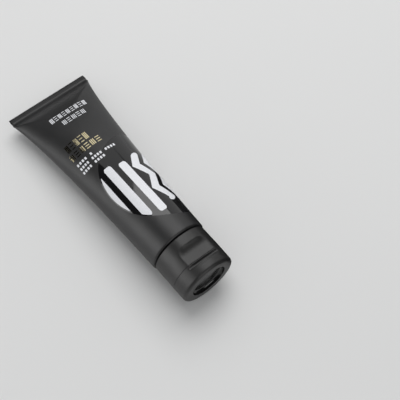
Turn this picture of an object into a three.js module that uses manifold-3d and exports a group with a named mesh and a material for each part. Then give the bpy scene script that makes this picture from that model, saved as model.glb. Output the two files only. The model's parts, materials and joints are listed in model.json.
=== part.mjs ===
// A squeeze tube of cream with a screw-on flip-top cap, lying on its back.
// Millimetres, +Z up. Every piece is built in the tube's own frame: the axis runs along +X from
// the crimped fin to the end of the cap, and +Z points out of the printed face.

import * as THREE from 'three';
import { mergeVertices } from 'three/addons/utils/BufferGeometryUtils.js';
import Module from 'manifold-3d';

const wasm = await Module();
wasm.setup();

// Driving dimensions.
const tubeDiameter = 35;
const tubeRadius = tubeDiameter / 2;
const sleeveLength = 130;
const finWidth = 54.8;
const finLength = 5.4;
const finThickness = 1.2;
const sleeveWall = 0.5;
const waistRate = 0.955;
const waistPower = 0.7;
const creaseLength = 4;
const gap = 0.3;

// Lying on a table: the axis rises towards the cap, and the filled sleeve flattens where it rests.
const lyingSlope = 0.052;
const lyingTilt = Math.atan(lyingSlope);

// Shoulder and neck.
const shoulderWall = 1.2;
const shoulderPlug = 4;
const neckBase = sleeveLength + 3;
const neckTop = sleeveLength + 13;
const neckRadius = 7.6;
const neckBore = 5.8;
const threadPitch = 3;
const threadHeight = 0.9;
const threadTurns = 1.5;

// Cap.
const capLength = 25.5;
const capRadius = 16.85;
const capWall = 1.15;
const capRoll = THREE.MathUtils.degToRad(-8.5);
const baseStart = sleeveLength + 0.7;
const splitAt = sleeveLength + 16.3;
const deckThickness = 1.2;
const baseEnd = splitAt - gap / 2;
const deckUnder = baseEnd - deckThickness;
const socketRadius = neckRadius + threadHeight + gap;
const socketWall = 1.2;
const socketStart = sleeveLength + 4;
const plinthRadius = 12.6;
const plinthWall = 1.2;
const plinthHeight = 0.8;
const nozzleRadius = 3.6;
const nozzleTip = 2.9;
const nozzleHeight = 2.8;
const nozzleBore = 1.6;
const lidStart = splitAt + gap / 2;
const lidEnd = sleeveLength + capLength;
const lidRound = 1.8;
const lidDraft = 0.2;
const lidRoof = 1.2;
const dishRadius = 11;
const dishDepth = 2.5;
const plugRadius = 1.1;
const plugReach = 2;

// Thumb scoop: a flat cut in the front of the base that runs on over a bead on the lid's lip, up to
// a step where the lid is round again. Behind the bead is a shallow groove.
const scoopFloor = 14.3;
const scoopStart = sleeveLength + 6.4;
const scoopRun = 5;
const scoopHalfWidth = 10;
const lipFloor = 13.2;
const lipEnd = sleeveLength + 19;
const beadWidth = 0.85;
const grooveDepth = 0.45;

// Film hinge at the back of the cap.
const strapThickness = 0.4;
const strapReach = 2.4;
const strapNotch = strapThickness + gap;
const centreStrapWidth = 6;
const sideStrapWidth = 2;
const sideStrapOffset = 6;

// Facets.
const sleeveSides = 36;
const capSides = 48;
const smallSides = 24;

// Closed geometry to solid and back.
function toSolid(geometry) {
  geometry.deleteAttribute('normal');
  geometry.deleteAttribute('uv');
  const merged = mergeVertices(geometry, 1e-4);
  const index = merged.index.array;
  const triangles = [];
  for (let i = 0; i < index.length; i += 3) {
    const [a, b, c] = index.slice(i, i + 3);
    if (a !== b && b !== c && c !== a) triangles.push(a, b, c);
  }
  const vertProperties = new Float32Array(merged.attributes.position.array);
  const triVerts = new Uint32Array(triangles);
  return new wasm.Manifold(new wasm.Mesh({ numProp: 3, vertProperties, triVerts }));
}

function toGeometry(solid) {
  const { vertProperties, triVerts } = solid.getMesh();
  const geometry = new THREE.BufferGeometry();
  geometry.setAttribute('position', new THREE.BufferAttribute(vertProperties, 3));
  geometry.setIndex(new THREE.BufferAttribute(triVerts, 1));
  geometry.computeVertexNormals();
  return geometry;
}

// Moves every vertex of a geometry through a function of its position.
function warp(geometry, move) {
  const position = geometry.attributes.position;
  const point = new THREE.Vector3();
  for (let i = 0; i < position.count; i++) {
    move(point.fromBufferAttribute(position, i));
    position.setXYZ(i, point.x, point.y, point.z);
  }
  return geometry;
}

// A profile of [station along X, radius] pairs, turned about the X axis.
function turned(profile, sides) {
  const points = profile.map(([station, radius]) => new THREE.Vector2(radius, station));
  return new THREE.LatheGeometry(points, sides).rotateZ(-Math.PI / 2);
}

function ring(start, end, inner, outer, sides) {
  const profile = [[start, inner], [start, outer], [end, outer], [end, inner], [start, inner]];
  return toSolid(turned(profile, sides));
}

function disc(start, end, radius, sides) {
  return toSolid(turned([[start, 0], [start, radius], [end, radius], [end, 0]], sides));
}

function block(start, end, halfWidth, low, high) {
  const box = new THREE.BoxGeometry(end - start, 2 * halfWidth, high - low);
  return toSolid(box.translate((start + end) / 2, 0, (low + high) / 2));
}

// Half of the sleeve's width at a station, narrowing from the fin to the round shoulder.
function halfWidth(station) {
  const u = Math.max(0, (station - finLength) / (sleeveLength - finLength));
  return tubeRadius + (finWidth / 2 - tubeRadius) * (1 - u) * Math.exp(-waistRate * u ** waistPower);
}

// Half of the sleeve's thickness there: the outline keeps the perimeter of the round tube.
function halfThickness(station) {
  const a = halfWidth(station);
  let low = 0;
  let high = a;
  while (high - low > 1e-4) {
    const b = (low + high) / 2;
    const perimeter = Math.PI * (3 * (a + b) - Math.sqrt((3 * a + b) * (a + 3 * b)));
    if (perimeter > Math.PI * tubeDiameter) {
      high = b;
    } else {
      low = b;
    }
  }
  const crease = 1 - Math.exp(-Math.max(0, station - finLength) / creaseLength);
  return finThickness / 2 + (low - finThickness / 2) * crease;
}

// Depth of the table below the axis: it touches the round end of the sleeve.
function tableDepth(station) {
  return tubeRadius - lyingSlope * (sleeveLength - station);
}

// Shapes a round turned body into the sleeve's outline. A vertex at radius tubeRadius - inset
// ends up that inset inside the sleeve's outer face; one on the axis stays there. The fin is a
// flat band, and the flatness fades out past it.
function sleeveShape(point) {
  const radius = Math.hypot(point.y, point.z);
  if (radius < 1e-3) return;
  const inset = tubeRadius - radius;
  const a = halfWidth(point.x) - inset;
  const b = halfThickness(point.x) - inset;
  const flatness = 1 + 3 * Math.exp(-Math.max(0, point.x - finLength) / creaseLength);
  const rise = flatness * b * point.z / radius;
  point.y = a * point.y / radius;
  point.z = THREE.MathUtils.clamp(rise, -Math.min(b, tableDepth(point.x) - inset), b);
}

// Stations along the sleeve, closer together near the fin, where it opens fast.
function stations(from, to, count) {
  return Array.from({ length: count + 1 }, (_, i) => from + (to - from) * (i / count) ** 1.6);
}

function tubeSleeve() {
  const edge = 0.4;
  const pocket = finLength + 1.2;
  const outside = stations(finLength, sleeveLength - edge, 18).map((s) => [s, tubeRadius]);
  const inside = stations(pocket, sleeveLength, 17).map((s) => [s, tubeRadius - sleeveWall]).reverse();
  const mouth = [[sleeveLength, tubeRadius - edge / 2]];
  const profile = [[0, 0], [0, tubeRadius], ...outside, ...mouth, ...inside, [pocket, 0]];
  return toSolid(warp(turned(profile, sleeveSides), sleeveShape));
}

function creamFill() {
  const inset = sleeveWall + gap;
  const start = finLength + 6;
  const end = sleeveLength - shoulderPlug - gap;
  const side = stations(start, end, 10).map((s) => [s, tubeRadius - inset]);
  return toSolid(warp(turned([[start, 0], ...side, [end, 0]], smallSides), sleeveShape));
}

// A helical ridge round the X axis, its ends fading into the root.
function threadRidge(root, crest, start, turns) {
  const steps = Math.round(turns * smallSides);
  const side = crest > root ? -1 : 1;
  const ridge = new THREE.BoxGeometry(1, 1, 1, steps, 1, 1).translate(0.5, 0.5, 0);
  return toSolid(warp(ridge, (point) => {
    const { x: along, y: out, z: across } = point;
    const fade = Math.min(1, 0.15 + 6 * along, 0.15 + 6 * (1 - along));
    const angle = 2 * Math.PI * turns * along;
    const radius = root + (crest - root) * out * fade;
    const width = THREE.MathUtils.lerp(1.5, 0.7, out);
    point.x = start + threadPitch * turns * along + side * across * width;
    point.y = radius * Math.cos(angle);
    point.z = radius * Math.sin(angle);
  }));
}

function tubeHead() {
  const rim = tubeRadius - sleeveWall - gap;
  const plugStart = sleeveLength - shoulderPlug;
  const body = toSolid(turned([
    [plugStart, rim - shoulderWall],
    [plugStart, rim],
    [sleeveLength - 0.9, rim],
    [sleeveLength + 0.1, rim - 0.7],
    [neckBase, neckRadius],
    [neckTop - 0.5, neckRadius],
    [neckTop, neckRadius - 0.4],
    [neckTop, neckBore],
    [neckBase - shoulderWall, neckBore],
    [sleeveLength - 1.3, rim - shoulderWall],
    [plugStart, rim - shoulderWall],
  ], capSides));
  const sunk = 0.25;
  return body.add(threadRidge(neckRadius - sunk, neckRadius + threadHeight, neckBase + 3, threadTurns));
}

// A disc of foil sealed on the neck's mouth, with a half-moon tab folded back over it.
function foilSeal() {
  const foil = 0.15;
  const radius = neckRadius - 0.3;
  const bottom = neckTop + gap;
  const tabBottom = bottom + foil + 0.15;
  const tab = disc(tabBottom, tabBottom + foil, radius - 0.6, smallSides);
  const half = block(bottom, tabBottom + 1, radius + 1, -0.6, radius + 1);
  const fold = block(bottom, tabBottom + foil, radius - 1.2, -0.6, -0.3);
  return disc(bottom, bottom + foil, radius, smallSides).add(tab.intersect(half)).add(fold);
}

function capLiner() {
  return ring(deckUnder - gap - 0.6, deckUnder - gap, nozzleRadius, neckRadius + 0.6, capSides);
}

// What the scoop takes out of the base. Its side view is a quarter ellipse down to a flat floor.
function scoopCutter() {
  const end = baseEnd + 1;
  const drop = capRadius - scoopFloor;
  const outline = new THREE.Shape();
  outline.moveTo(end, capRadius + 1);
  outline.lineTo(scoopStart, capRadius + 1);
  outline.lineTo(scoopStart, capRadius);
  outline.absellipse(scoopStart + scoopRun, capRadius, scoopRun, drop, Math.PI, 1.5 * Math.PI);
  outline.lineTo(end, scoopFloor);
  const across = { depth: 2 * scoopHalfWidth, bevelEnabled: false, curveSegments: 8 };
  const slab = new THREE.ExtrudeGeometry(outline, across).rotateX(Math.PI / 2);
  return toSolid(slab.translate(0, scoopHalfWidth, 0));
}

// What the scoop takes out of the lid: a flat lip with its bead, and the groove behind it.
function lipCutter() {
  const bead = block(lidStart - 1, lidStart + beadWidth, scoopHalfWidth, scoopFloor, capRadius + 1);
  const low = scoopFloor - grooveDepth;
  const groove = block(lidStart + beadWidth, lipEnd, scoopHalfWidth, low, capRadius + 1);
  return bead.add(groove);
}

// The hinge straps lie in notches in the cap's back, across the split.
function strap(width, offset, clearance) {
  const outer = capRadius + (clearance ? 1 : -0.02);
  const inner = capRadius - strapNotch + (clearance ? 0 : gap);
  const reach = strapReach + clearance;
  const film = ring(splitAt - reach, splitAt + reach, inner, outer, 2 * capSides);
  const angle = offset / capRadius;
  const slab = block(splitAt - reach - 1, splitAt + reach + 1, width / 2 + clearance, -capRadius - 2, -10);
  return film.intersect(slab.rotate([THREE.MathUtils.radToDeg(angle), 0, 0]));
}

const straps = [
  ['hinge_strap_left', sideStrapWidth, -sideStrapOffset],
  ['hinge_strap_centre', centreStrapWidth, 0],
  ['hinge_strap_right', sideStrapWidth, sideStrapOffset],
];

function cutStrapNotches(solid) {
  return straps.reduce((cut, [, width, offset]) => cut.subtract(strap(width, offset, gap)), solid);
}

function capBase() {
  const inner = capRadius - capWall;
  const skirt = toSolid(turned([
    [baseStart, inner],
    [baseStart, capRadius - 0.3],
    [baseStart + 0.3, capRadius],
    [baseEnd, capRadius],
    [baseEnd, 0],
    [deckUnder, 0],
    [deckUnder, inner],
    [baseStart, inner],
  ], capSides));
  const backing = disc(scoopStart - capWall, baseEnd, capRadius - 0.1, capSides)
    .intersect(block(scoopStart - capWall, baseEnd, scoopHalfWidth, scoopFloor - capWall, capRadius));
  const socket = ring(socketStart, deckUnder + 0.3, socketRadius, socketRadius + socketWall, capSides);
  const threadStart = neckBase + 3 + threadPitch / 2;
  const thread = threadRidge(socketRadius + 0.25, neckRadius + 0.3, threadStart, threadTurns);
  const plinthEnd = baseEnd + plinthHeight;
  const plinth = ring(baseEnd - 0.3, plinthEnd, plinthRadius - plinthWall, plinthRadius, capSides);
  const nozzle = toSolid(turned([
    [baseEnd - 0.3, 0],
    [baseEnd - 0.3, nozzleRadius],
    [baseEnd + nozzleHeight, nozzleTip],
    [baseEnd + nozzleHeight, 0],
  ], smallSides));
  const orifice = disc(deckUnder - 1, baseEnd + nozzleHeight + 1, nozzleBore, smallSides);
  const whole = skirt.add(backing).add(socket).add(thread).add(plinth).add(nozzle).subtract(orifice);
  return cutStrapNotches(whole.subtract(scoopCutter()));
}

function capLid() {
  const inner = capRadius - capWall;
  const corner = new THREE.Path();
  corner.absarc(lidEnd - lidRound, capRadius - lidDraft - lidRound, lidRound, Math.PI / 2, 0, true);
  const rounded = corner.getPoints(5).map((point) => [point.x, point.y]);
  const shell = toSolid(turned([
    [lidStart, inner],
    [lidStart, capRadius],
    ...rounded,
    [lidEnd, dishRadius],
    [lidEnd - dishDepth, dishRadius - 0.3],
    [lidEnd - dishDepth, 0],
    [lidEnd - dishDepth - lidRoof, 0],
    [lidEnd - dishDepth - lidRoof, dishRadius + 0.9],
    [lidEnd - lidRoof, dishRadius + 1.2],
    [lidEnd - lidRoof, inner - 1],
    [lidEnd - lidRoof - 1, inner],
    [lidStart, inner],
  ], capSides));
  const lip = disc(lidStart, lipEnd + capWall, capRadius - 0.1, capSides)
    .intersect(block(lidStart, lipEnd + capWall, scoopHalfWidth, lipFloor, capRadius));
  const plugTip = baseEnd + nozzleHeight - plugReach;
  const plug = toSolid(turned([
    [plugTip, 0],
    [plugTip, plugRadius - 0.3],
    [plugTip + 0.4, plugRadius],
    [lidEnd - dishDepth - 0.5, plugRadius],
    [lidEnd - dishDepth - 0.5, 0],
  ], smallSides));
  return cutStrapNotches(shell.add(lip).subtract(lipCutter()).add(plug));
}

// Materials.
function finish(color, roughness, metalness = 0) {
  return new THREE.MeshStandardMaterial({ color, roughness, metalness });
}

const sleevePlastic = finish(0x2c2c2d, 0.55);
const capPlastic = finish(0x2f2e2d, 0.48);
const headPlastic = finish(0x1d1d1e, 0.5);
const foilMetal = finish(0xc9cbce, 0.3, 1);
const linerFoam = finish(0xe6e4de, 0.8);
const cream = finish(0xf1efe9, 0.7);

// Assembly: the cap's pieces share a group, because the cap is screwed on a little askew of the print.
function piece(name, solid, material) {
  const mesh = new THREE.Mesh(toGeometry(solid), material);
  mesh.name = name;
  return mesh;
}

const cap = new THREE.Group();
cap.rotation.x = capRoll;
cap.add(piece('cap_liner', capLiner(), linerFoam));
cap.add(piece('cap_base', capBase(), capPlastic));
cap.add(piece('cap_lid', capLid(), capPlastic));
for (const [name, width, offset] of straps) cap.add(piece(name, strap(width, offset, 0), capPlastic));

const tube = new THREE.Group();
tube.rotation.y = -lyingTilt;
tube.add(piece('tube_sleeve', tubeSleeve(), sleevePlastic));
tube.add(piece('cream_fill', creamFill(), cream));
tube.add(piece('tube_head', tubeHead(), headPlastic));
tube.add(piece('foil_seal', foilSeal(), foilMetal));
tube.add(cap);

// The origin is the middle of the underside.
const group = new THREE.Group();
group.add(tube);
const box = new THREE.Box3().setFromObject(group, true);
const middle = box.getCenter(new THREE.Vector3());
tube.position.set(-middle.x, -middle.y, -box.min.z);

export default group;
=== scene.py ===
import json
import math

import bpy
import numpy as np
from mathutils import Matrix, Vector


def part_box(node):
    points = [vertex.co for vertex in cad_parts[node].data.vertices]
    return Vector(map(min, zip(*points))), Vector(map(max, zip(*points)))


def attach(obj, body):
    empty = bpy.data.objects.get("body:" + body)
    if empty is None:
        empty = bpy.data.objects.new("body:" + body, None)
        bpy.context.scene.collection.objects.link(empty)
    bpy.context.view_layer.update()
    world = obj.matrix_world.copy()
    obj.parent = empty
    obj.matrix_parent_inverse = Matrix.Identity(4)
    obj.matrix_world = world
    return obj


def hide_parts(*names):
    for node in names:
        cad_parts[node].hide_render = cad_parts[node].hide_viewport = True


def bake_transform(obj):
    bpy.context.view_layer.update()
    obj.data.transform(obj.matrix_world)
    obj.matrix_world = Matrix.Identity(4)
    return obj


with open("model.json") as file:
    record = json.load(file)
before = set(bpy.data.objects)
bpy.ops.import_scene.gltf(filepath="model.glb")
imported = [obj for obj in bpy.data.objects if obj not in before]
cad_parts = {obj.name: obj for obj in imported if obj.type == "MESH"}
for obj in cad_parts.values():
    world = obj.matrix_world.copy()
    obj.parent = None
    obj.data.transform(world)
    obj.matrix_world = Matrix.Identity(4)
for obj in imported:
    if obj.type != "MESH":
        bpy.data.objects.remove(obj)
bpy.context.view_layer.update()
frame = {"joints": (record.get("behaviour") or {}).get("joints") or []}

# A squeeze tube of cream with a screw-on flip-top cap. Shapes are worked out in millimetres in the tube's
# own frame: x runs from the crimped fin to the end of the cap, and z points out of the printed face.
# place() turns that into metres in the row frame.

MM = 0.001

# Sleeve, with its waist and the fin at its start.
TUBE_RADIUS = 17.5
SLEEVE_LENGTH = 130.0
FIN_WIDTH = 54.8
FIN_LENGTH = 5.4
FIN_THICKNESS = 1.2
SLEEVE_WALL = 0.5
SLEEVE_SIDES = 192
WAIST_RATE = 0.955
WAIST_POWER = 0.7
CREASE_LENGTH = 4.0
MOUTH_ROUND = 1.2
FIN_STEP = 0.14
FIN_TAPER = 0.2
POCKET_START = FIN_LENGTH + 1.2

# Head and neck.
HEAD_START = SLEEVE_LENGTH - 4
HEAD_RIM = TUBE_RADIUS - SLEEVE_WALL - 0.3
HEAD_WALL = 1.2
NECK_BASE = SLEEVE_LENGTH + 3
NECK_TOP = SLEEVE_LENGTH + 13
NECK_RADIUS = 7.6
NECK_BORE = 5.8
THREAD_START = NECK_BASE + 3
THREAD_PITCH = 3.0
THREAD_HEIGHT = 0.9
THREAD_TURNS = 1.5
THREAD_FOOT = 0.78
THREAD_FLANK = 0.42

# Cream, and the foil seal on the neck.
CREAM_START = FIN_LENGTH + 6
CREAM_END = SLEEVE_LENGTH - 4.3
CREAM_INSET = 0.8
CREAM_RIPPLE = 0.12
SEAL_START = NECK_TOP + 0.3
SEAL_RADIUS = NECK_RADIUS - 0.3
SEAL_THICKNESS = 0.12
SEAL_EDGE = 0.04
SEAL_PUCKER = 0.04
TAB_RADIUS = SEAL_RADIUS - 0.7
TAB_LIFT = 0.15
TAB_OFFSET = -0.3
INNER_SIDES = 96

# Cap.
CAP_RADIUS = 16.85
CAP_WALL = 1.15
CAP_INNER = CAP_RADIUS - CAP_WALL
CAP_EDGE = 0.12
CAP_SIDES = 240
BASE_START = SLEEVE_LENGTH + 0.7
SPLIT = SLEEVE_LENGTH + 16.3
SPLIT_GAP = 0.08
BASE_END = SPLIT - SPLIT_GAP / 2
DECK_UNDER = BASE_END - 1.2
SOCKET_START = SLEEVE_LENGTH + 4
SOCKET_RADIUS = NECK_RADIUS + THREAD_HEIGHT + 0.3
SOCKET_WALL = 1.2
SOCKET_OUTER = SOCKET_RADIUS + SOCKET_WALL
LINER_RADIUS = NECK_RADIUS + 0.6
LINER_START = DECK_UNDER - 0.9
LINER_END = DECK_UNDER - 0.3
PLINTH_RADIUS = 12.6
PLINTH_WALL = 1.2
PLINTH_HEIGHT = 0.8
NOZZLE_RADIUS = 3.6
NOZZLE_TIP = 2.9
NOZZLE_HEIGHT = 2.8
NOZZLE_BORE = 1.6
LID_START = SPLIT + SPLIT_GAP / 2
LID_END = SLEEVE_LENGTH + 25.5
LID_ROUND = 1.8
LID_DRAFT = 0.2
LID_ROOF = 1.2
DISH_RADIUS = 11.0
DISH_DEPTH = 2.5
DISH_FLOOR = LID_END - DISH_DEPTH
PLUG_RADIUS = 1.1
PLUG_TIP = BASE_END + NOZZLE_HEIGHT - 2.0

# Thumb scoop in the cap's front. It runs on over a bead and a groove on the lid's lip, up to a step.
SCOOP_FLOOR = 14.3
SCOOP_START = SLEEVE_LENGTH + 6.4
SCOOP_RUN = 5.0
SCOOP_BLEND = 0.3
LIP_FLOOR = 13.2
LIP_END = SLEEVE_LENGTH + 19
LIP_ROUND = 0.5
LIP_BLEND = 0.25
BEAD_WIDTH = 0.85
BEAD_CROWN = 0.35
GROOVE_DEPTH = 0.38

# Film hinge at the cap's back: width and place across the cap of each strap.
STRAPS = {"left": (2.0, -6.0), "centre": (6.0, 0.0), "right": (2.0, 6.0)}
STRAP_REACH = 2.4
STRAP_NOTCH = 0.7
STRAP_CLEARANCE = 0.3
STRAP_THINNING = 0.16
STRAP_ROWS = 33
STRAP_STEP = 0.3

# Artwork on the flattened sleeve: s along the tube and w round it from the top line. A row of dashes is
# (s, first w, last w).
SPOT_CENTRE = (87.9, 17.8)
SPOT_RADIUS = 32.6
VARNISH_HEIGHT = 0.03
INK_HEIGHT = 0.05
FOIL_HEIGHT = 0.04
INK_SINK = 0.03
MARK_FILL = 0.72
DASH_ROWS = ((57.0, -16.5, -4.3), (60.1, -16.4, 9.4), (63.1, -16.7, 0.4))
DASH_PITCH = 1.9
DASH_LENGTH = 1.7
DASH_FILL = 0.62
DASH_ROUND = 0.2
DASHES_PER_WORD = 5
RIBBON_WIDTH = 4.6
RIBBON_MARGIN = 0.8
ZIGZAG_PERIOD = 18.0

# Longest mesh steps.
PLAIN_STEP = 0.5
SCOOP_STEP = 0.2
LIP_STEP = 0.06
PATCH_STEP = 0.8
ARC_STEP = math.radians(18)
SHARP_ANGLE = math.radians(35)

# Stage, in metres. The lens and the sensor are in millimetres.
FLOOR_HALF = 4.0
FLAG_START = 0.072
FLAG_END = 0.260
FLAG_MIDDLE = 0.078
FLAG_RADIUS = 0.028
FLAG_EDGE = 0.021
FLAG_LIFT = 0.001
LIGHT_DISTANCE = 1.7
WORLD_STRENGTH = 0.48
CAMERA_PLACE = Vector((0.1498, -0.0838, 0.3568))
CAMERA_AIM = Vector((0.0311, 0.0330, 0.0))
CAMERA_ROLL = math.radians(5.24)
CAMERA_LENS = 59.37
CAMERA_SENSOR = 36.0

# Where the tube lies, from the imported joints.
joints = {joint["name"]: joint for joint in frame["joints"]}
AXIS = Vector(joints["cap_turn"]["axis"]).normalized()
AXIS_POINT = Vector(joints["cap_turn"]["pos_m"])
TILT = math.asin(AXIS.z)
TUBE_UP = Vector((-AXIS.z, 0, AXIS.x))
FIN_END_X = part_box("tube_sleeve")[0].x + FIN_THICKNESS / 2 * MM * math.sin(TILT)
ORIGIN = AXIS_POINT - AXIS * ((AXIS_POINT.x - FIN_END_X) / AXIS.x)
HINGE_AXIS = Vector(joints["lid_hinge"]["axis"]).normalized()
CAP_ROLL = math.atan2(HINGE_AXIS.dot(TUBE_UP), HINGE_AXIS.y)


# ---------------------------------------------------------------- meshes

def place(points, roll=0.0):
    """Tube-frame millimetres to row-frame metres, turned about the tube's axis first."""
    matrix = Matrix.Translation(ORIGIN) @ Matrix.Rotation(-TILT, 4, "Y") @ Matrix.Rotation(roll, 4, "X")
    matrix = np.array(matrix @ Matrix.Scale(MM, 4))
    return np.asarray(points) @ matrix[:3, :3].T + matrix[:3, 3]


def piece(name, points, faces, material, roll=0.0, polished=None):
    """A mesh object from tube-frame points. polished is a pair: a test of a point, and a second material
    for the faces whose points all pass it."""
    mesh = bpy.data.meshes.new(name)
    mesh.from_pydata(place(points, roll).tolist(), [], faces)
    mesh.validate()
    mesh.polygons.foreach_set("use_smooth", [True] * len(mesh.polygons))
    mesh.set_sharp_from_angle(angle=SHARP_ANGLE)
    mesh.materials.append(material)
    if polished is not None:
        where, finish = polished
        mesh.materials.append(finish)
        corners = np.asarray(points)
        inside = [int(all(where(*corners[v]) for v in face.vertices)) for face in mesh.polygons]
        mesh.polygons.foreach_set("material_index", inside)
    thing = bpy.data.objects.new(name, mesh)
    bpy.context.scene.collection.objects.link(thing)
    return thing


def grid_faces(rows, columns, wrap_rows=False, wrap_columns=False):
    """Quads of a grid of points stored row by row."""
    faces = []
    for i in range(rows if wrap_rows else rows - 1):
        for j in range(columns if wrap_columns else columns - 1):
            a = i * columns + j
            b = i * columns + (j + 1) % columns
            c = (i + 1) % rows * columns + (j + 1) % columns
            d = (i + 1) % rows * columns + j
            faces.append((a, b, c, d))
    return faces


def sheet(top, bottom):
    """Points and faces of a closed sheet between two grids of points, rows by columns by 3."""
    rows, columns = top.shape[:2]
    count = rows * columns
    upper = grid_faces(rows, columns)
    lower = [tuple(index + count for index in face[::-1]) for face in upper]
    rim = list(range(columns))
    rim += [i * columns + columns - 1 for i in range(1, rows)]
    rim += [(rows - 1) * columns + j for j in range(columns - 2, -1, -1)]
    rim += [i * columns for i in range(rows - 2, 0, -1)]
    sides = [(b, a, a + count, b + count) for a, b in zip(rim, rim[1:] + rim[:1])]
    return np.concatenate([top.reshape(-1, 3), bottom.reshape(-1, 3)]), upper + lower + sides


def closed_rings(rings, first_tip, last_tip):
    """Points and faces of a skin over rings of points, closed by a fan to a tip at each end."""
    sides = len(rings[0])
    points = np.concatenate(rings + [[first_tip, last_tip]])
    first, last = len(points) - 2, len(points) - 1
    ring = (len(rings) - 1) * sides
    faces = grid_faces(len(rings), sides, wrap_columns=True)
    faces += [(first, (j + 1) % sides, j) for j in range(sides)]
    faces += [(last, ring + j, ring + (j + 1) % sides) for j in range(sides)]
    return points, faces


def outline(corners, step, closed=False):
    """A polyline through (x, radius, fillet) corners, with each corner rounded by its fillet and long
    straights cut into steps. step(x, radius) is the longest step there."""
    count = len(corners)
    line = []
    for i, (x, r, fillet) in enumerate(corners):
        here = Vector((x, r))
        if fillet <= 0 or (not closed and i in (0, count - 1)):
            line.append(here)
            continue
        before = Vector(corners[i - 1][:2]) - here
        after = Vector(corners[(i + 1) % count][:2]) - here
        angle = before.angle(after)
        reach = fillet / math.tan(angle / 2)
        inward = (before.normalized() + after.normalized()).normalized()
        centre = here + inward * fillet / math.sin(angle / 2)
        first = here + before.normalized() * reach - centre
        sweep = first.angle_signed(here + after.normalized() * reach - centre)
        arc_steps = max(2, round(abs(sweep) / ARC_STEP))
        for k in range(arc_steps + 1):
            line.append(centre + Matrix.Rotation(-sweep * k / arc_steps, 2) @ first)
    fine = []
    ends = line[1:] + line[:1] if closed else line[1:]
    for start, end in zip(line, ends):
        way = end - start
        done = 0.0
        while done < 1:
            here = start + way * done
            fine.append(tuple(here))
            just_past = here + way.normalized() * 0.02
            reach = step(*just_past) / max(way.length, 1e-6)
            left = 1 - done
            done = 1.0 if left < 1.5 * reach else done + reach
    return fine if closed else fine + [tuple(line[-1])]


def even_step(length):
    """A step for outline() that is the same everywhere."""
    return lambda x, radius: length


def cap_step(x, radius):
    """Fine steps along the cap's outer wall: finest over the lid's lip, then over the scoop."""
    if radius < CAP_RADIUS - CAP_WALL / 2 - LID_DRAFT:
        return PLAIN_STEP
    if LID_START <= x < LIP_END + 2 * LIP_ROUND:
        return LIP_STEP
    return SCOOP_STEP


def turned(profile, sides, closed=True, shape=None):
    """Points and faces of a profile turned about the x axis. shape(x, radius, angle) may change the radius.
    An open profile starts and ends on the axis."""
    body = profile if closed else profile[1:-1]
    angle = np.linspace(0, 2 * math.pi, sides, endpoint=False)
    rings = []
    for x, r in body:
        radius = np.full(sides, float(r))
        if shape is not None:
            radius = shape(x, radius, angle)
        rings.append(np.stack([np.full(sides, x), radius * np.sin(angle), radius * np.cos(angle)], -1))
    if closed:
        return np.concatenate(rings), grid_faces(len(rings), sides, wrap_rows=True, wrap_columns=True)
    return closed_rings(rings, [profile[0][0], 0, 0], [profile[-1][0], 0, 0])


def join(*parts):
    """One set of points and faces from several."""
    points, faces = [], []
    offset = 0
    for part_points, part_faces in parts:
        points.append(np.asarray(part_points))
        faces += [tuple(index + offset for index in face) for face in part_faces]
        offset += len(part_points)
    return np.concatenate(points), faces


def smooth_min(a, b, blend):
    """The lower of two values, with the crossing rounded over the blend width."""
    h = np.clip(0.5 + 0.5 * (b - a) / blend, 0, 1)
    return b + (a - b) * h - blend * h * (1 - h)


# ---------------------------------------------------------------- sleeve surface

def half_width(s):
    """Half the sleeve's width at s, from the fin's down to the round tube's."""
    u = np.clip((s - FIN_LENGTH) / (SLEEVE_LENGTH - FIN_LENGTH), 0, None)
    return TUBE_RADIUS + (FIN_WIDTH / 2 - TUBE_RADIUS) * (1 - u) * np.exp(-WAIST_RATE * u ** WAIST_POWER)


def half_thickness(s):
    """The outline keeps the round tube's perimeter, and closes to the fin over the crease length."""
    a = half_width(s)
    low, high = np.zeros_like(a), a.copy()
    for _ in range(30):
        b = (low + high) / 2
        perimeter = math.pi * (3 * (a + b) - np.sqrt((3 * a + b) * (a + 3 * b)))
        too_long = perimeter > 2 * math.pi * TUBE_RADIUS
        high = np.where(too_long, b, high)
        low = np.where(too_long, low, b)
    crease = 1 - np.exp(-np.clip(s - FIN_LENGTH, 0, None) / CREASE_LENGTH)
    return FIN_THICKNESS / 2 + (low - FIN_THICKNESS / 2) * crease


def table_depth(s):
    """How far the table lies under the tube's axis at s."""
    return TUBE_RADIUS - math.tan(TILT) * (SLEEVE_LENGTH - s)


def sleeve_point(s, angle, inset=0.0):
    """Points of the sleeve, inset from its outer face. The angle is the turned body's, from the top line."""
    s, angle = np.broadcast_arrays(np.asarray(s, float), np.asarray(angle, float))
    a = half_width(s) - inset
    b = half_thickness(s) - inset
    flatness = 1 + 3 * np.exp(-np.clip(s - FIN_LENGTH, 0, None) / CREASE_LENGTH)
    rise = flatness * b * np.cos(angle)
    low = -np.minimum(b, table_depth(s) - inset)
    return np.stack([s, a * np.sin(angle), np.clip(rise, low, b)], -1)


def wrapped(s, w, height):
    """Points at a height over the sleeve, w millimetres round it from the top line."""
    fine = np.radians(np.arange(-150, 151, 0.5))
    line = sleeve_point(np.asarray(s)[..., None], fine)
    steps = np.linalg.norm(np.diff(line[..., 1:], axis=-2), axis=-1)
    travel = np.concatenate([np.zeros(steps.shape[:-1] + (1,)), np.cumsum(steps, -1)], -1)
    travel -= travel[..., len(fine) // 2][..., None]
    flat_travel = travel.reshape(-1, len(fine))
    angle = [np.interp(x, row, fine) for x, row in zip(np.ravel(w), flat_travel)]
    return sleeve_point(s, np.reshape(angle, np.shape(w)), -height)


# ---------------------------------------------------------------- materials

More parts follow.
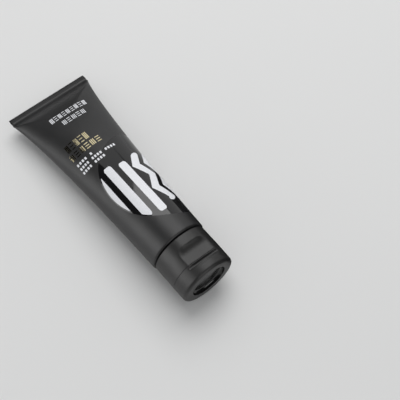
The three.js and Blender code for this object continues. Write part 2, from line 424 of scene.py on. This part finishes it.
class Shader:
    """A principled material with a small kit of procedural layers."""

    def __init__(self, name, color, roughness, **sockets):
        self.material = bpy.data.materials.new(name)
        self.material.use_nodes = True
        self.nodes = self.material.node_tree.nodes
        self.links = self.material.node_tree.links
        self.principled = self.nodes["Principled BSDF"]
        self.place = self.nodes.new("ShaderNodeTexCoord").outputs["Object"]
        self.principled.inputs["Base Color"].default_value = (*color, 1)
        self.principled.inputs["Roughness"].default_value = roughness
        for socket, value in sockets.items():
            self.principled.inputs[socket.replace("_", " ")].default_value = value

    def noise(self, size, detail=3.0, stretch=(1, 1, 1)):
        """Noise with features about size metres across."""
        mapping = self.nodes.new("ShaderNodeMapping")
        mapping.inputs["Scale"].default_value = [1 / (size * k) for k in stretch]
        texture = self.nodes.new("ShaderNodeTexNoise")
        texture.inputs["Scale"].default_value = 1
        texture.inputs["Detail"].default_value = detail
        self.links.new(self.place, mapping.inputs["Vector"])
        self.links.new(mapping.outputs["Vector"], texture.inputs["Vector"])
        return texture.outputs["Fac"]

    def remap(self, value, low, high, to_low, to_high):
        node = self.nodes.new("ShaderNodeMapRange")
        node.inputs["From Min"].default_value = low
        node.inputs["From Max"].default_value = high
        node.inputs["To Min"].default_value = to_low
        node.inputs["To Max"].default_value = to_high
        self.links.new(value, node.inputs["Value"])
        return node.outputs["Result"]

    def mix(self, factor, first, second):
        """Colour mix. A colour may be a tuple or a socket."""
        node = self.nodes.new("ShaderNodeMix")
        node.data_type = "RGBA"
        for socket, value in ((node.inputs[6], first), (node.inputs[7], second)):
            if isinstance(value, tuple):
                socket.default_value = (*value, 1)
            else:
                self.links.new(value, socket)
        self.links.new(factor, node.inputs[0])
        return node.outputs[2]

    def color(self, value):
        self.links.new(value, self.principled.inputs["Base Color"])

    def roughness(self, value):
        self.links.new(value, self.principled.inputs["Roughness"])

    def bump(self, *layers):
        """Each layer is (height socket, depth in metres)."""
        normal = None
        for height, depth in layers:
            node = self.nodes.new("ShaderNodeBump")
            node.inputs["Distance"].default_value = depth
            self.links.new(height, node.inputs["Height"])
            if normal is not None:
                self.links.new(normal, node.inputs["Normal"])
            normal = node.outputs["Normal"]
        self.links.new(normal, self.principled.inputs["Normal"])


def sleeve_plastic():
    s = Shader("sleeve_plastic", (0.011, 0.011, 0.0115), 0.47, Specular_IOR_Level=0.6)
    broad = s.noise(0.03)
    grain = s.noise(0.00035, detail=2.0)
    s.color(s.mix(s.remap(broad, 0.35, 0.65, 0, 1), (0.010, 0.010, 0.0105), (0.0125, 0.0125, 0.013)))
    s.roughness(s.remap(broad, 0.3, 0.7, 0.45, 0.5))
    s.bump((broad, 0.0006), (grain, 0.00002))
    return s.material


def cap_plastic():
    tone = (0.012, 0.0115, 0.011)
    s = Shader("cap_plastic", tone, 0.45, Specular_IOR_Level=0.58)
    broad = s.noise(0.012)
    grain = s.noise(0.0003, detail=2.0)
    darker = tuple(value * 0.85 for value in tone)
    s.color(s.mix(s.remap(broad, 0.35, 0.65, 0, 1), darker, tone))
    s.roughness(s.remap(broad, 0.3, 0.7, 0.43, 0.5))
    s.bump((grain, 0.00002))
    return s.material


def dish_plastic():
    s = Shader("dish_plastic", (0.010, 0.010, 0.0095), 0.2)
    broad = s.noise(0.006)
    s.color(s.mix(s.remap(broad, 0.3, 0.7, 0, 1), (0.009, 0.009, 0.0085), (0.011, 0.011, 0.0105)))
    s.roughness(s.remap(broad, 0.3, 0.7, 0.17, 0.24))
    s.bump((broad, 0.00005))
    return s.material


def head_plastic():
    s = Shader("head_plastic", (0.014, 0.014, 0.0145), 0.35)
    flow = s.noise(0.004, stretch=(3, 1, 1))
    s.color(s.mix(s.remap(flow, 0.3, 0.7, 0, 1), (0.0125, 0.0125, 0.013), (0.0155, 0.0155, 0.016)))
    s.roughness(s.remap(flow, 0.3, 0.7, 0.3, 0.42))
    s.bump((flow, 0.00003))
    return s.material


def gloss_varnish():
    s = Shader("gloss_varnish", (0.009, 0.009, 0.0095), 0.06)
    broad = s.noise(0.02)
    s.color(s.mix(s.remap(broad, 0.3, 0.7, 0, 1), (0.008, 0.008, 0.0085), (0.010, 0.010, 0.0105)))
    s.roughness(s.remap(broad, 0.3, 0.7, 0.045, 0.08))
    s.bump((broad, 0.00006))
    return s.material


def white_ink():
    s = Shader("white_ink", (0.8, 0.81, 0.84), 0.4)
    speckle = s.noise(0.0006)
    s.color(s.mix(s.remap(speckle, 0.3, 0.7, 0, 1), (0.76, 0.77, 0.80), (0.84, 0.85, 0.88)))
    s.bump((speckle, 0.00001))
    return s.material


def gold_foil():
    s = Shader("gold_foil", (0.68, 0.60, 0.38), 0.16, Metallic=1.0)
    wear = s.noise(0.0012)
    s.color(s.mix(s.remap(wear, 0.35, 0.65, 0, 1), (0.61, 0.53, 0.32), (0.75, 0.67, 0.45)))
    s.roughness(s.remap(wear, 0.3, 0.7, 0.10, 0.18))
    s.bump((wear, 0.00002))
    return s.material


def aluminium_foil():
    s = Shader("foil", (0.8, 0.8, 0.81), 0.28, Metallic=1.0)
    wrinkle = s.noise(0.0015, detail=4.0)
    s.color(s.mix(s.remap(wrinkle, 0.3, 0.7, 0, 1), (0.75, 0.75, 0.76), (0.85, 0.85, 0.86)))
    s.roughness(s.remap(wrinkle, 0.3, 0.7, 0.2, 0.38))
    s.bump((wrinkle, 0.00012))
    return s.material


def liner_foam():
    s = Shader("liner_foam", (0.78, 0.77, 0.73), 0.8)
    cells = s.noise(0.0003)
    s.color(s.mix(s.remap(cells, 0.4, 0.6, 0, 1), (0.70, 0.69, 0.65), (0.82, 0.81, 0.77)))
    s.bump((cells, 0.00006))
    return s.material


def cream():
    s = Shader("cream", (0.86, 0.85, 0.81), 0.45, Subsurface_Weight=0.2)
    swirl = s.noise(0.006, detail=2.0)
    s.color(s.mix(s.remap(swirl, 0.3, 0.7, 0, 1), (0.84, 0.83, 0.79), (0.88, 0.87, 0.83)))
    s.principled.inputs["Subsurface Radius"].default_value = (0.002, 0.0015, 0.001)
    s.bump((swirl, 0.0004))
    return s.material


# ---------------------------------------------------------------- tube

def build_sleeve(material):
    """Outer and inner wall in one closed skin, with the mouth curled over the shoulder's edge."""
    mouth = SLEEVE_LENGTH - MOUTH_ROUND
    turn = np.linspace(0, math.pi / 2, 7)
    outer = [(s, 0.0) for s in FIN_LENGTH + (mouth - FIN_LENGTH) * np.linspace(0, 1, 110) ** 1.5]
    curl_out = [(mouth + MOUTH_ROUND * math.sin(t), MOUTH_ROUND * (1 - math.cos(t))) for t in turn[1:]]
    bend = MOUTH_ROUND - SLEEVE_WALL
    curl_in = [(mouth + bend * math.sin(t), MOUTH_ROUND - bend * math.cos(t)) for t in turn[::-1]]
    stations = POCKET_START + (mouth - POCKET_START) * np.linspace(1, 0, 60)[1:] ** 1.5
    inner = [(s, SLEEVE_WALL) for s in stations]
    fin = [
        (0.0, FIN_TAPER + 0.15),
        (0.06, FIN_TAPER + 0.05),
        (0.2, FIN_TAPER),
        (2.9, 0.0),
        (3.1, FIN_STEP),
        (FIN_LENGTH - 0.5, FIN_STEP),
        (FIN_LENGTH - 0.3, 0.0),
    ]
    profile = fin + outer + curl_out + curl_in + inner
    angle = np.linspace(0, 2 * math.pi, SLEEVE_SIDES, endpoint=False)
    rings = [sleeve_point(s, angle, inset) for s, inset in profile]
    sleeve = piece("sleeve", *closed_rings(rings, [0, 0, 0], [POCKET_START, 0, 0]), material)
    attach(sleeve, "tube")
    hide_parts("tube_sleeve")


def patch(s, low, high, height):
    """A thin closed solid over the sleeve between w = low(s) and high(s)."""
    widest = float(np.max(high - low))
    columns = max(2, math.ceil(widest / PATCH_STEP) + 1)
    across = np.linspace(0, 1, columns)
    w = low[:, None] + (high - low)[:, None] * across
    along = np.repeat(s[:, None], columns, 1)
    return sheet(wrapped(along, w, height), wrapped(along, w, -INK_SINK))


def rounded_bar(s_start, s_end, w_start, w_end, radius, height):
    """A bar with rounded corners, square to the tube."""
    radius = min(radius, (s_end - s_start) / 2, (w_end - w_start) / 2)
    turn = np.linspace(0, math.pi / 2, 5)
    ramp = radius * (1 - np.cos(turn))
    stations = max(2, math.ceil((s_end - s_start) / PATCH_STEP))
    straight = np.linspace(s_start + radius, s_end - radius, stations)
    s = np.concatenate([s_start + ramp[:-1], straight, s_end - ramp[-2::-1]])
    edge = np.clip(np.minimum(s - s_start, s_end - s), 0, radius)
    cut = radius - np.sqrt(np.clip(radius ** 2 - (radius - edge) ** 2, 0, None))
    cut = np.minimum(cut, (w_end - w_start) / 2 - 0.02)
    return patch(s, w_start + cut, w_end - cut, height)


def hatched_row(s_start, s_end, w_start, w_end, count, stroke, height=INK_HEIGHT):
    """A row of square marks, each of three thin bars, set along the tube and across it by turns."""
    marks = []
    room = (w_end - w_start) / count
    side = room * MARK_FILL
    for k in range(count):
        w = w_start + k * room
        for third in range(3):
            if k % 2:
                s = s_start + third * (s_end - s_start - stroke) / 2
                marks.append(rounded_bar(s, s + stroke, w, w + side, stroke / 4, height))
            else:
                edge = w + third * (side - stroke) / 2
                marks.append(rounded_bar(s_start, s_end, edge, edge + stroke, stroke / 4, height))
    return marks


def in_spot(s):
    """Lowest and highest w of the round spot at s."""
    reach = np.sqrt(np.clip(SPOT_RADIUS ** 2 - (s - SPOT_CENTRE[0]) ** 2, 0.01, None))
    return SPOT_CENTRE[1] - reach, SPOT_CENTRE[1] + reach


def ribbon(middle, s_start, s_end, width=RIBBON_WIDTH, wave=0.0):
    """A stroke along the tube, straight or zigzag, with round ends, kept inside the round spot."""
    s = np.linspace(s_start, s_end, math.ceil((s_end - s_start) / PLAIN_STEP))
    phase = (s - s_start) / ZIGZAG_PERIOD
    centre = middle + wave * (np.abs(4 * (phase - np.floor(phase)) - 2) - 1)
    slope = math.hypot(1, 4 * wave / ZIGZAG_PERIOD)
    half = np.full_like(s, width / 2 * slope)
    edge = np.minimum(s - s_start, s_end - s)
    near = edge < width / 2
    half[near] *= np.sqrt(np.clip(1 - (1 - edge[near] / (width / 2)) ** 2, 0.0001, None))
    low, high = in_spot(s)
    low = np.maximum(centre - half, low + RIBBON_MARGIN)
    high = np.minimum(centre + half, high - RIBBON_MARGIN)
    shown = high - low > 0.05
    return patch(s[shown], low[shown], high[shown], VARNISH_HEIGHT + INK_HEIGHT)


def build_varnish(material):
    s = SPOT_CENTRE[0] + SPOT_RADIUS * np.sin(np.linspace(-math.pi / 2, math.pi / 2, 90))
    varnish = piece("gloss_varnish_spot", *patch(s, *in_spot(s), VARNISH_HEIGHT), material)
    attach(varnish, "tube")


def build_white_print(material):
    marks = hatched_row(20.6, 24.4, -10.5, 15.2, 9, 0.5)
    marks += hatched_row(26.9, 30.5, -5.4, 10.8, 5, 0.46)
    for s, w_start, w_end in DASH_ROWS:
        dashes = round((w_end - w_start) / DASH_PITCH)
        room = (w_end - w_start) / dashes
        for k in range(dashes):
            w = w_start + k * room
            w_stop = w + DASH_FILL * room
            if (k + 1) % DASHES_PER_WORD:
                marks.append(rounded_bar(s, s + DASH_LENGTH, w, w_stop, DASH_ROUND, INK_HEIGHT))
    strokes = [
        ribbon(-13.2, 68.0, 111.0),
        ribbon(-4.9, 71.2, 112.0, width=4.9),
        ribbon(3.6, 73.6, 114.0, width=4.8),
        ribbon(12.4, 71.2, 110.0, wave=2.6),
        ribbon(21.9, 71.2, 109.0, wave=3.2),
        ribbon(31.9, 71.2, 109.0, wave=3.2),
    ]
    white = piece("white_print", *join(*marks, *strokes), material)
    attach(white, "tube")


def build_gold_print(material):
    marks = hatched_row(42.8, 48.0, -15.1, 1.2, 5, 0.66, FOIL_HEIGHT)
    marks += hatched_row(49.8, 54.0, -16.5, 5.9, 6, 0.66, FOIL_HEIGHT)
    gold = piece("gold_foil_print", *join(*marks), material)
    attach(gold, "tube")


def thread(x, angle, start):
    """Height, 0 to 1, of a helical ridge. It starts at 90 degrees and turns back over the top."""
    phase = (math.pi / 2 - angle) % (2 * math.pi) / (2 * math.pi)
    height = np.zeros_like(angle)
    for turn in range(math.ceil(THREAD_TURNS)):
        along = (phase + turn) / THREAD_TURNS
        distance = np.abs(x - start - THREAD_PITCH * (phase + turn))
        ridge = np.clip((THREAD_FOOT - distance) / THREAD_FLANK, 0, 1)
        fade = np.clip(np.minimum(along, 1 - along) * 8, 0, 1)
        height = np.maximum(height, np.where(along <= 1, ridge * fade, 0))
    return height * height * (3 - 2 * height)


def build_head(material):
    profile = outline([
        (HEAD_START, HEAD_RIM - HEAD_WALL, 0.2),
        (HEAD_START, HEAD_RIM, 0.3),
        (SLEEVE_LENGTH - 1.3, HEAD_RIM, 0.3),
        (SLEEVE_LENGTH - 0.3, HEAD_RIM - 0.9, 0.5),
        (NECK_BASE, NECK_RADIUS, 0.8),
        (NECK_TOP, NECK_RADIUS, 0.4),
        (NECK_TOP, NECK_BORE, 0.2),
        (NECK_BASE - HEAD_WALL, NECK_BORE, 0.5),
        (SLEEVE_LENGTH - 1.5, HEAD_RIM - HEAD_WALL, 0.4),
    ], even_step(0.2), closed=True)

    def with_thread(x, radius, angle):
        if radius[0] > NECK_RADIUS - 0.01 and x > NECK_BASE + 0.8:
            return radius + THREAD_HEIGHT * thread(x, angle, THREAD_START)
        return radius

    head = piece("shoulder_and_neck", *turned(profile, SLEEVE_SIDES, shape=with_thread), material)
    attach(head, "tube")
    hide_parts("tube_head")


def build_cream(material):
    """The fill, its surface a little uneven inside the sleeve."""
    stations = CREAM_START + (CREAM_END - CREAM_START) * np.linspace(0, 1, 60) ** 1.4
    angle = np.linspace(0, 2 * math.pi, INNER_SIDES, endpoint=False)
    rings = []
    for s in stations:
        ripple = CREAM_RIPPLE * (1 + np.sin(3 * angle + s / 7))
        rings.append(sleeve_point(s, angle, CREAM_INSET + ripple))
    fill = piece("cream", *closed_rings(rings, [CREAM_START, 0, 0], [CREAM_END, 0, 0]), material)
    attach(fill, "tube")
    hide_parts("cream_fill")


# ---------------------------------------------------------------- cap

def scoop_level(x):
    """Height of the scoop's cut over the axis, in the base: a quarter ellipse down to a flat floor."""
    t = min(1.0, max(0.0, (x - SCOOP_START) / SCOOP_RUN))
    return SCOOP_FLOOR + (CAP_RADIUS + 0.2 - SCOOP_FLOOR) * (1 - math.sqrt(1 - (1 - t) ** 2))


def lip_level(x):
    """Height of the scoop's cut in the lid: over a round bead, then down into a hollow groove."""
    along = (x - LID_START) / BEAD_WIDTH
    edge = SCOOP_FLOOR - BEAD_CROWN / 2
    if along < 1:
        return edge + BEAD_CROWN * math.sqrt(max(0.0, 1 - (2 * along - 1) ** 2))
    hollow = min(1.0, (x - LID_START - BEAD_WIDTH) / (LIP_END - LID_START - BEAD_WIDTH))
    return edge - GROOVE_DEPTH * math.sin(math.pi * hollow) ** 0.7


def cut_by(level, angle):
    """Radius at which a flat cut at that height crosses each angle."""
    facing = np.cos(angle)
    return np.where(facing > 0.5, level / np.clip(facing, 0.5, 1), 99.0)


def squeezed(radius, low, high, new_low, new_high):
    """A radius between low and high, moved in proportion between the new ones."""
    return new_low + (radius - low) * (new_high - new_low) / (high - low)


def notch_depth(x, angle):
    """How deep the hinge notches cut at a place on the cap's back."""
    if abs(x - SPLIT) > STRAP_REACH + STRAP_CLEARANCE:
        return 0.0
    back = angle - math.pi
    depth = np.zeros_like(angle)
    for width, offset in STRAPS.values():
        inside = np.abs(back * CAP_RADIUS + offset) < width / 2 + STRAP_CLEARANCE
        depth = np.maximum(depth, np.where(inside, STRAP_NOTCH, 0.0))
    return depth


def build_base(material):
    """Skirt, scoop, deck, nozzle and threaded socket in one closed skin."""
    profile = outline([
        (BASE_START, CAP_INNER, 0.15),
        (BASE_START, CAP_RADIUS, 0.35),
        (BASE_END, CAP_RADIUS, CAP_EDGE),
        (BASE_END, PLINTH_RADIUS, 0.2),
        (BASE_END + PLINTH_HEIGHT, PLINTH_RADIUS, 0.3),
        (BASE_END + PLINTH_HEIGHT, PLINTH_RADIUS - PLINTH_WALL, 0.3),
        (BASE_END, PLINTH_RADIUS - PLINTH_WALL, 0.2),
        (BASE_END, NOZZLE_RADIUS, 0.4),
        (BASE_END + NOZZLE_HEIGHT, NOZZLE_TIP, 0.4),
        (BASE_END + NOZZLE_HEIGHT, NOZZLE_BORE, 0.2),
        (DECK_UNDER, NOZZLE_BORE, 0.1),
        (DECK_UNDER, SOCKET_RADIUS, 0.2),
        (SOCKET_START, SOCKET_RADIUS, 0.2),
        (SOCKET_START, SOCKET_OUTER, 0.2),
        (DECK_UNDER, SOCKET_OUTER, 0.4),
        (DECK_UNDER, CAP_INNER, 0.4),
    ], cap_step, closed=True)

    def shape(x, radius, angle):
        height = radius[0]
        if abs(height - SOCKET_RADIUS) < 0.01 and x < DECK_UNDER - 1:
            return radius - THREAD_HEIGHT * thread(x, angle, THREAD_START + THREAD_PITCH / 2)
        softness = 0.4 + 0.8 * np.clip((SCOOP_START + SCOOP_RUN - x) / SCOOP_RUN, 0, 1)
        outer = smooth_min(np.full_like(radius, CAP_RADIUS), cut_by(scoop_level(x), angle), softness)
        lining_cut = cut_by(scoop_level(x) - CAP_WALL, angle)
        lining = smooth_min(np.full_like(radius, CAP_INNER), lining_cut, SCOOP_BLEND)
        if x > BASE_END - CAP_EDGE - 0.01 and height > PLINTH_RADIUS:
            radius = squeezed(radius, PLINTH_RADIUS, CAP_RADIUS, PLINTH_RADIUS, outer)
        elif height > CAP_INNER + 0.01:
            radius = squeezed(radius, CAP_INNER, CAP_RADIUS, CAP_INNER, outer)
        elif height > SOCKET_OUTER:
            radius = squeezed(radius, SOCKET_OUTER, CAP_INNER, SOCKET_OUTER, lining)
        return radius - notch_depth(x, angle) * (height > CAP_RADIUS - CAP_WALL / 2)

    base = piece("cap_body", *turned(profile, CAP_SIDES, shape=shape), material, roll=CAP_ROLL)
    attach(base, "cap")
    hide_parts("cap_base")


def build_lid(material, polished):
    """Shell with the thumb lip, sunken end and plug pin in one closed skin. The sunken end is polished."""
    profile = outline([
        (DISH_FLOOR, 0, 0),
        (DISH_FLOOR, DISH_RADIUS - 0.3, 2.0),
        (LID_END, DISH_RADIUS, 0.3),
        (LID_END, CAP_RADIUS - LID_DRAFT, LID_ROUND),
        (LID_START, CAP_RADIUS, CAP_EDGE),
        (LID_START, CAP_INNER, 0.15),
        (LID_END - LID_ROOF, CAP_INNER, 0.9),
        (LID_END - LID_ROOF, DISH_RADIUS + 1.2, 0.3),
        (DISH_FLOOR - LID_ROOF, DISH_RADIUS + 0.9, 0.3),
        (DISH_FLOOR - LID_ROOF, PLUG_RADIUS, 0.3),
        (PLUG_TIP, PLUG_RADIUS, 0.4),
        (PLUG_TIP, 0, 0),
    ], cap_step)

    def shape(x, radius, angle):
        height = radius[0]
        if height < CAP_INNER - 0.2:
            return radius
        wall = smooth_min(np.full_like(radius, CAP_RADIUS), cut_by(lip_level(x), angle), LIP_BLEND)
        lining = np.minimum(CAP_INNER, cut_by(LIP_FLOOR, angle))
        step = np.clip((x - LIP_END) / LIP_ROUND, 0, 1)
        wall = wall + (CAP_RADIUS - wall) * math.sqrt(1 - (1 - step) ** 2)
        behind = np.clip((x - LIP_END - CAP_WALL) / LIP_ROUND, 0, 1)
        lining = lining + (CAP_INNER - lining) * behind
        radius = squeezed(radius, CAP_INNER, CAP_RADIUS, lining, wall)
        return radius - notch_depth(x, angle) * (height > CAP_RADIUS - CAP_WALL / 2)

    def in_dish(x, y, z):
        return x > DISH_FLOOR - 0.1 and math.hypot(y, z) < DISH_RADIUS + 0.1

    skin = turned(profile, CAP_SIDES, closed=False, shape=shape)
    lid = piece("cap_flip_lid", *skin, material, roll=CAP_ROLL, polished=(in_dish, polished))
    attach(lid, "lid")
    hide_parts("cap_lid")


def build_straps(material):
    """Moulded film straps across the split, thinner where they bend."""
    for name, (width, offset) in STRAPS.items():
        columns = max(9, round(width / STRAP_STEP))
        x = np.linspace(SPLIT - STRAP_REACH, SPLIT + STRAP_REACH, STRAP_ROWS)
        across = np.linspace(-width / 2, width / 2, columns)
        angle = math.pi - (offset + across) / CAP_RADIUS
        thin = STRAP_THINNING * np.exp(-((x - SPLIT) / 0.35) ** 2)
        along = np.repeat(x[:, None], columns, 1)
        outer_level = CAP_RADIUS - 0.02 - thin
        inner_level = np.full_like(x, CAP_RADIUS - STRAP_NOTCH + STRAP_CLEARANCE)
        skins = []
        for level in (outer_level, inner_level):
            radius = np.repeat(level[:, None], columns, 1)
            skins.append(np.stack([along, radius * np.sin(angle), radius * np.cos(angle)], -1))
        strap = piece(f"film_hinge_{name}", *sheet(*skins), material, roll=CAP_ROLL)
        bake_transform(strap)
        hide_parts(f"hinge_strap_{name}")


def build_seal(material):
    """Foil on the neck's mouth, a little puckered, with its pull tab folded back."""
    top = SEAL_START + SEAL_THICKNESS
    disc = outline([
        (SEAL_START, 0, 0),
        (SEAL_START, SEAL_RADIUS, SEAL_EDGE),
        (top, SEAL_RADIUS, SEAL_EDGE),
        (top, 0, 0),
    ], even_step(PLAIN_STEP))
    points, faces = turned(disc, INNER_SIDES, closed=False)
    distance = np.hypot(points[:, 1], points[:, 2])
    angle = np.arctan2(points[:, 1], points[:, 2])
    points[:, 0] += SEAL_PUCKER * np.sin(9 * angle) * (distance / SEAL_RADIUS) ** 3
    turn = np.linspace(0, math.pi, 49)
    rim = np.stack([np.zeros_like(turn), TAB_RADIUS * np.cos(turn), TAB_RADIUS * np.sin(turn)], -1)
    low = rim + [top + TAB_LIFT, 0, TAB_OFFSET]
    high = rim + [top + TAB_LIFT + SEAL_THICKNESS, 0, TAB_OFFSET]
    count = len(rim)
    tab_faces = [tuple(range(count))[::-1], tuple(range(count, 2 * count))]
    tab_faces += [(i, (i + 1) % count, (i + 1) % count + count, i + count) for i in range(count)]
    seal = piece("neck_seal", *join((points, faces), (np.concatenate([low, high]), tab_faces)), material)
    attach(seal, "tube")
    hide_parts("foil_seal")


def build_liner(material):
    profile = outline([
        (LINER_START, NOZZLE_RADIUS, 0.1),
        (LINER_START, LINER_RADIUS, 0.15),
        (LINER_END, LINER_RADIUS, 0.15),
        (LINER_END, NOZZLE_RADIUS, 0.1),
    ], even_step(PLAIN_STEP), closed=True)
    liner = piece("sealing_washer", *turned(profile, INNER_SIDES), material, roll=CAP_ROLL)
    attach(liner, "washer")
    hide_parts("cap_liner")


# ---------------------------------------------------------------- stage, light, camera

def floor_material():
    s = Shader("floor", (0.765, 0.765, 0.76), 0.75)
    broad = s.noise(0.4)
    s.color(s.mix(s.remap(broad, 0.3, 0.7, 0, 1), (0.76, 0.76, 0.755), (0.77, 0.77, 0.765)))
    return s.material


def flag_cloth():
    s = Shader("flag_cloth", (0.02, 0.02, 0.02), 0.9)
    weave = s.noise(0.001)
    s.color(s.mix(weave, (0.018, 0.018, 0.018), (0.024, 0.024, 0.024)))
    return s.material


def stage_object(name, points, faces, material):
    """A mesh object in row-frame metres."""
    mesh = bpy.data.meshes.new(name)
    mesh.from_pydata(points, [], faces)
    mesh.materials.append(material)
    thing = bpy.data.objects.new(name, mesh)
    bpy.context.scene.collection.objects.link(thing)
    return thing


def build_stage():
    half = FLOOR_HALF
    corners = [(-half, -half, 0), (half, -half, 0), (half, half, 0), (-half, half, 0)]
    floor = stage_object("floor", corners, [(0, 1, 2, 3)], floor_material())


def build_flag():
    """A low dark body beside the tube, seen only in reflections, with a flat edge towards the tube.
    It keeps the pale floor out of the tube's side."""
    turn = np.linspace(0, math.pi, 25)
    arch = np.stack([FLAG_MIDDLE + FLAG_RADIUS * np.cos(turn), FLAG_LIFT + FLAG_RADIUS * np.sin(turn)], -1)
    section = np.concatenate([arch, [(FLAG_EDGE, FLAG_LIFT)]])
    stations = np.linspace(ORIGIN.x + FLAG_START, ORIGIN.x + FLAG_END, 9)
    points = [(x, y, z) for x in stations for y, z in section]
    flag = stage_object("flag", points, grid_faces(len(stations), len(section)), flag_cloth())
    flag.visible_camera = False
    flag.visible_diffuse = False
    flag.visible_shadow = False


def softbox(name, direction, along, across, radiance, reflected_only=False):
    """A rectangular light facing the tube, with one side along the tube and the other across it."""
    data = bpy.data.lights.new(name, "AREA")
    data.shape = "RECTANGLE"
    data.size = along
    data.size_y = across
    data.energy = 4 * radiance * along * across
    light = bpy.data.objects.new(name, data)
    z = Vector(direction).normalized()
    x = (Vector((1, 0, 0)) - z * z.x).normalized()
    y = z.cross(x)
    turn = Matrix((x, y, z)).transposed().to_4x4()
    light.matrix_world = Matrix.Translation(z * LIGHT_DISTANCE) @ turn
    light.visible_diffuse = not reflected_only
    bpy.context.scene.collection.objects.link(light)


def build_lights():
    softbox("key", (-0.325, 0.323, 0.889), 0.85, 1.55, 2.75)
    softbox("key_far", (-0.66, 0.23, 0.715), 0.48, 1.34, 0.7)
    softbox("right_fill", (-0.40, 0.88, 0.26), 1.4, 1.4, 0.7, reflected_only=True)
    softbox("side_strip", (-0.30, -0.90, 0.33), 1.0, 1.2, 2.6, reflected_only=True)
    softbox("end_fill", (0.86, 0.02, 0.50), 0.7, 1.5, 2.2, reflected_only=True)
    world = bpy.data.worlds.new("studio")
    world.use_nodes = True
    background = world.node_tree.nodes["Background"]
    background.inputs["Color"].default_value = (0.98, 0.99, 1.0, 1)
    background.inputs["Strength"].default_value = WORLD_STRENGTH
    world.cycles_visibility.glossy = False
    bpy.context.scene.world = world


def build_camera():
    data = bpy.data.cameras.new("camera")
    data.sensor_width = CAMERA_SENSOR
    data.lens = CAMERA_LENS
    camera = bpy.data.objects.new("camera", data)
    back = (CAMERA_PLACE - CAMERA_AIM).normalized()
    upright = back.to_track_quat("Z", "Y").to_matrix().to_4x4()
    roll = Matrix.Rotation(CAMERA_ROLL, 4, "Z")
    camera.matrix_world = Matrix.Translation(CAMERA_PLACE) @ upright @ roll
    bpy.context.scene.collection.objects.link(camera)
    bpy.context.scene.camera = camera


# ---------------------------------------------------------------- assembly

build_sleeve(sleeve_plastic())
build_varnish(gloss_varnish())
build_white_print(white_ink())
build_gold_print(gold_foil())
build_head(head_plastic())
build_cream(cream())
cap_finish = cap_plastic()
build_base(cap_finish)
build_lid(cap_finish, dish_plastic())
build_straps(cap_finish)
build_seal(aluminium_foil())
build_liner(liner_foam())
build_stage()
build_flag()
build_lights()
build_camera()
bpy.context.scene.view_settings.view_transform = "Standard"
